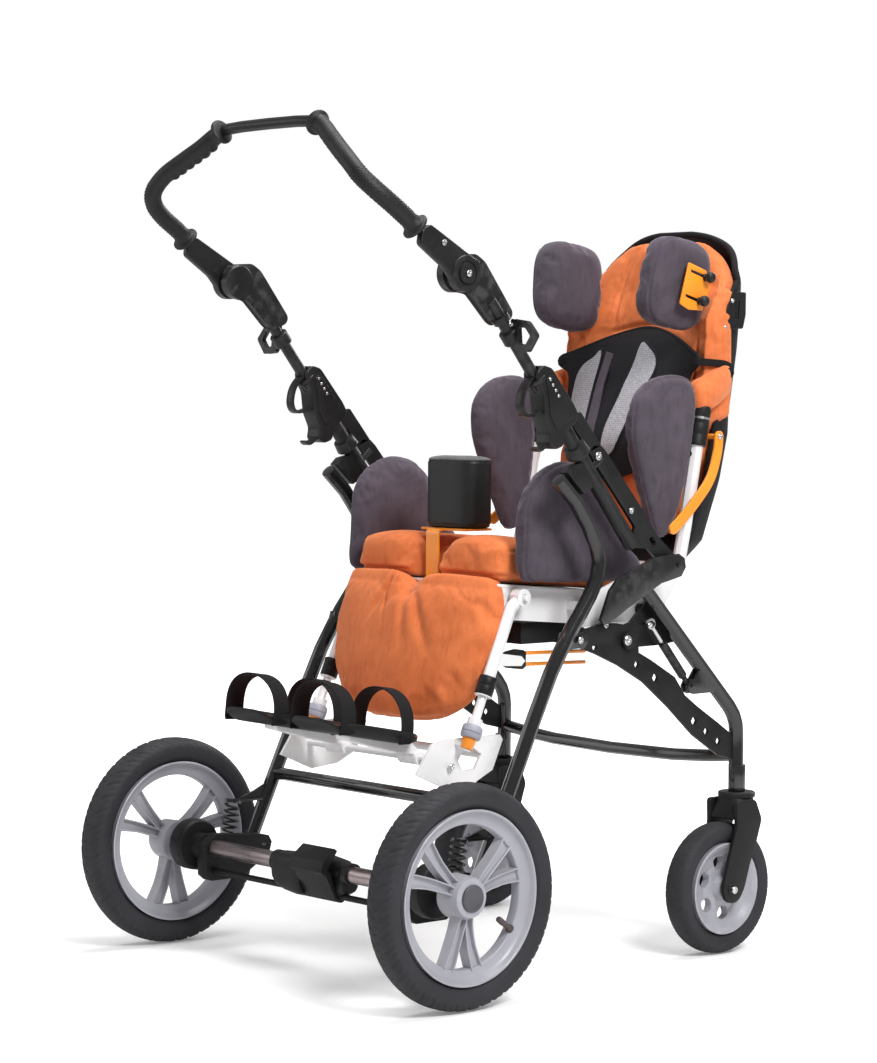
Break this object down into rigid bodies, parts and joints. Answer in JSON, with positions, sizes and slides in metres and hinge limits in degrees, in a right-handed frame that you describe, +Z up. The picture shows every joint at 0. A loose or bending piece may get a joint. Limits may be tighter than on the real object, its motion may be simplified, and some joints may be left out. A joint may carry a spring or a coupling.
{
  "type": "pediatric wheelchair",
  "caption": "Folding paediatric rehab buggy: spoked rear wheels, swivel casters, angle-adjustable push bar, padded tilting seat facing the pusher, legrest with strapped footplates.",
  "frame": {"origin": "on the floor under the middle of the overall box", "axes": "+Z up, +Y the way the chassis travels (caster end), +X to the chassis's right; the child faces -Y"},
  "size_m": [0.7004, 0.8941, 1.1978],
  "materials": {
    "frame": "satin black powder coat",
    "plastic": "black moulded plastic",
    "grip": "soft black moulded grip",
    "grey": "silver grey moulded plastic",
    "tyre": "black rubber with tread",
    "white": "white powder coat",
    "axle": "brushed metal tube",
    "steel": "bright steel",
    "spring": "black coated spring wire",
    "orange": "orange powder coat",
    "orangecloth": "orange velour",
    "greycloth": "dark grey velour",
    "mesh": "black and grey webbed mesh",
    "leather": "black coated leather cloth"
  },
  "bodies": {
    "chassis": {"front_leg_right": "frame", "front_leg_left": "frame", "arch_plate_right": "frame", "arch_plate_left": "frame", "front_crossbar": "frame"},
    "rear_frame": {"rear_leg_right": "frame", "rear_leg_left": "frame", "rear_crossbar": "frame", "suspension_spring_right": "spring", "suspension_spring_left": "spring"},
    "rear_axle": {"suspension_arm_right": "plastic", "suspension_arm_left": "plastic", "axle_tube": "axle", "brake_housing": "plastic"},
    "brake_pedal_body": {"brake_pedal": "plastic"},
    "handle": {"handle_tube_right": "frame", "handle_tube_left": "frame"},
    "handle_upper": {"height_tube_right": "frame", "height_tube_left": "frame"},
    "handle_bar": {"grip_right": "grip", "grip_left": "grip", "push_bar": "frame"},
    "seat": {"tilt_frame": "frame", "seat_pan": "white", "seat_cushion": "orangecloth", "pommel_bracket": "orange"},
    "strut_body": {"gas_strut": "steel"},
    "strut_piston": {"strut_rod": "steel"},
    "pommel_body": {"pommel": "leather"},
    "back": {"back_shell": "plastic", "back_cushion": "orangecloth", "harness_vest": "mesh", "back_frame": "white", "back_brace_right": "orange", "back_brace_left": "orange", "head_bracket": "orange"},
    "legrest": {"leg_hanger": "white", "calf_pad": "orangecloth"},
    "legrest_strut_body": {"legrest_strut": "orange"},
    "legrest_slide": {"leg_extension": "white"},
    "release_right": {"release_slider_right": "plastic"},
    "rear_wheel_right": {"rear_rim_right": "grey", "rear_tyre_right": "tyre"},
    "caster_right": {"caster_fork_right": "plastic"},
    "caster_wheel_right": {"caster_rim_right": "grey", "caster_tyre_right": "tyre"},
    "footrest_right": {"footplate_right": "plastic"},
    "hip_support_right": {"hip_pad_right": "greycloth"},
    "trunk_support_right": {"lateral_pad_right": "greycloth"},
    "head_support_right": {"head_pad_right": "greycloth"},
    "release_left": {"release_slider_left": "plastic"},
    "rear_wheel_left": {"rear_rim_left": "grey", "rear_tyre_left": "tyre"},
    "caster_left": {"caster_fork_left": "plastic"},
    "caster_wheel_left": {"caster_rim_left": "grey", "caster_tyre_left": "tyre"},
    "footrest_left": {"footplate_left": "plastic"},
    "hip_support_left": {"hip_pad_left": "greycloth"},
    "trunk_support_left": {"lateral_pad_left": "greycloth"},
    "head_support_left": {"head_pad_left": "greycloth"}
  },
  "joints": [
    {"name": "handle_fold", "type": "hinge", "parent": "chassis", "child": "handle", "pos_m": [0, 0.17228, 0.576], "axis": [1, 0, 0], "range_deg": [-145, 0]},
    {"name": "rear_frame_fold", "type": "hinge", "parent": "chassis", "child": "rear_frame", "pos_m": [0, -0.01072, 0.475], "axis": [1, 0, 0], "range_deg": [0, 54]},
    {"name": "rear_suspension", "type": "hinge", "parent": "rear_frame", "child": "rear_axle", "pos_m": [0, -0.20122, 0.15], "axis": [1, 0, 0], "range_deg": [-8, 0], "stiffness_Nm_per_rad": 420, "springref_deg": 5.73, "deforming": ["suspension_spring_right", "suspension_spring_left"]},
    {"name": "brake_pedal_press", "type": "hinge", "parent": "rear_axle", "child": "brake_pedal_body", "pos_m": [0, -0.29372, 0.119], "axis": [1, 0, 0], "range_deg": [0, 25]},
    {"name": "handle_height", "type": "slide", "parent": "handle", "child": "handle_upper", "axis": [0, -0.6309, 0.7759], "range_m": [-0.03, 0.06]},
    {"name": "handle_angle", "type": "hinge", "parent": "handle_upper", "child": "handle_bar", "pos_m": [0, -0.24102, 0.9807], "axis": [1, 0, 0], "range_deg": [-20, 60]},
    {"name": "seat_tilt", "type": "hinge", "parent": "chassis", "child": "seat", "pos_m": [0, 0.08278, 0.47], "axis": [1, 0, 0], "range_deg": [-25, 0]},
    {"name": "gas_strut_swing", "type": "hinge", "parent": "chassis", "child": "strut_body", "pos_m": [0.252, 0.21278, 0.398], "axis": [1, 0, 0], "range_deg": [0, 5.6]},
    {"name": "gas_strut_stroke", "type": "slide", "parent": "strut_body", "child": "strut_piston", "axis": [0, -0.6551, 0.7556], "range_m": [-0.0205, 0]},
    {"name": "pommel_lift", "type": "slide", "parent": "seat", "child": "pommel_body", "axis": [0, 0, 1], "range_m": [0, 0.05]},
    {"name": "back_recline", "type": "hinge", "parent": "seat", "child": "back", "pos_m": [0, 0.22628, 0.548], "axis": [1, 0, 0], "range_deg": [-30, 0]},
    {"name": "legrest_elevation", "type": "hinge", "parent": "seat", "child": "legrest", "pos_m": [0, -0.04872, 0.532], "axis": [1, 0, 0], "range_deg": [-40, 0]},
    {"name": "legrest_strut_swing", "type": "hinge", "parent": "legrest", "child": "legrest_strut_body", "pos_m": [0.148, -0.04772, 0.442], "axis": [1, 0, 0], "range_deg": [0, 29]},
    {"name": "legrest_length", "type": "slide", "parent": "legrest", "child": "legrest_slide", "axis": [0, -0.3881, -0.9216], "range_m": [-0.03, 0]},
    {"name": "fold_release_right", "type": "slide", "parent": "handle", "child": "release_right", "axis": [0, -0.6309, 0.7759], "range_m": [0, 0.012], "stiffness_N_per_m": 500, "springref_m": -0.01},
    {"name": "rear_wheel_spin_right", "type": "hinge", "parent": "rear_axle", "child": "rear_wheel_right", "pos_m": [0.324, -0.29372, 0.1525], "axis": [1, 0, 0], "continuous": true},
    {"name": "caster_swivel_right", "type": "hinge", "parent": "chassis", "child": "caster_right", "pos_m": [0.2545, 0.31528, 0.2372], "axis": [0, 0, 1], "continuous": true},
    {"name": "caster_spin_right", "type": "hinge", "parent": "caster_right", "child": "caster_wheel_right", "pos_m": [0.2545, 0.27628, 0.0967], "axis": [1, 0, 0], "continuous": true},
    {"name": "footplate_angle_right", "type": "hinge", "parent": "legrest_slide", "child": "footrest_right", "pos_m": [0.08, -0.17172, 0.306], "axis": [1, 0, 0], "range_deg": [-20, 15]},
    {"name": "hip_width_right", "type": "slide", "parent": "seat", "child": "hip_support_right", "axis": [1, 0, 0], "range_m": [0, 0.015]},
    {"name": "trunk_width_right", "type": "slide", "parent": "back", "child": "trunk_support_right", "axis": [1, 0, 0], "range_m": [0, 0.014]},
    {"name": "head_width_right", "type": "slide", "parent": "back", "child": "head_support_right", "axis": [-1, 0, 0], "range_m": [0, 0.025]},
    {"name": "fold_release_left", "type": "slide", "parent": "handle", "child": "release_left", "axis": [0, -0.6309, 0.7759], "range_m": [0, 0.012], "stiffness_N_per_m": 500, "springref_m": -0.01},
    {"name": "rear_wheel_spin_left", "type": "hinge", "parent": "rear_axle", "child": "rear_wheel_left", "pos_m": [-0.324, -0.29372, 0.1525], "axis": [1, 0, 0], "continuous": true},
    {"name": "caster_swivel_left", "type": "hinge", "parent": "chassis", "child": "caster_left", "pos_m": [-0.2545, 0.31528, 0.2372], "axis": [0, 0, 1], "continuous": true},
    {"name": "caster_spin_left", "type": "hinge", "parent": "caster_left", "child": "caster_wheel_left", "pos_m": [-0.2545, 0.27628, 0.0967], "axis": [1, 0, 0], "continuous": true},
    {"name": "footplate_angle_left", "type": "hinge", "parent": "legrest_slide", "child": "footrest_left", "pos_m": [-0.08, -0.17172, 0.306], "axis": [1, 0, 0], "range_deg": [-20, 15]},
    {"name": "hip_width_left", "type": "slide", "parent": "seat", "child": "hip_support_left", "axis": [-1, 0, 0], "range_m": [0, 0.015]},
    {"name": "trunk_width_left", "type": "slide", "parent": "back", "child": "trunk_support_left", "axis": [-1, 0, 0], "range_m": [0, 0.014]},
    {"name": "head_width_left", "type": "slide", "parent": "back", "child": "head_support_left", "axis": [1, 0, 0], "range_m": [0, 0.025]}
  ],
  "couplings": [
    {"joint": "rear_frame_fold", "follows": "handle_fold", "ratio": -0.37},
    {"joint": "gas_strut_swing", "follows": "seat_tilt", "ratio": -0.22},
    {"joint": "gas_strut_stroke", "follows": "seat_tilt", "m_per_rad": 0.0464},
    {"joint": "legrest_strut_swing", "follows": "legrest_elevation", "ratio": -0.72}
  ]
}
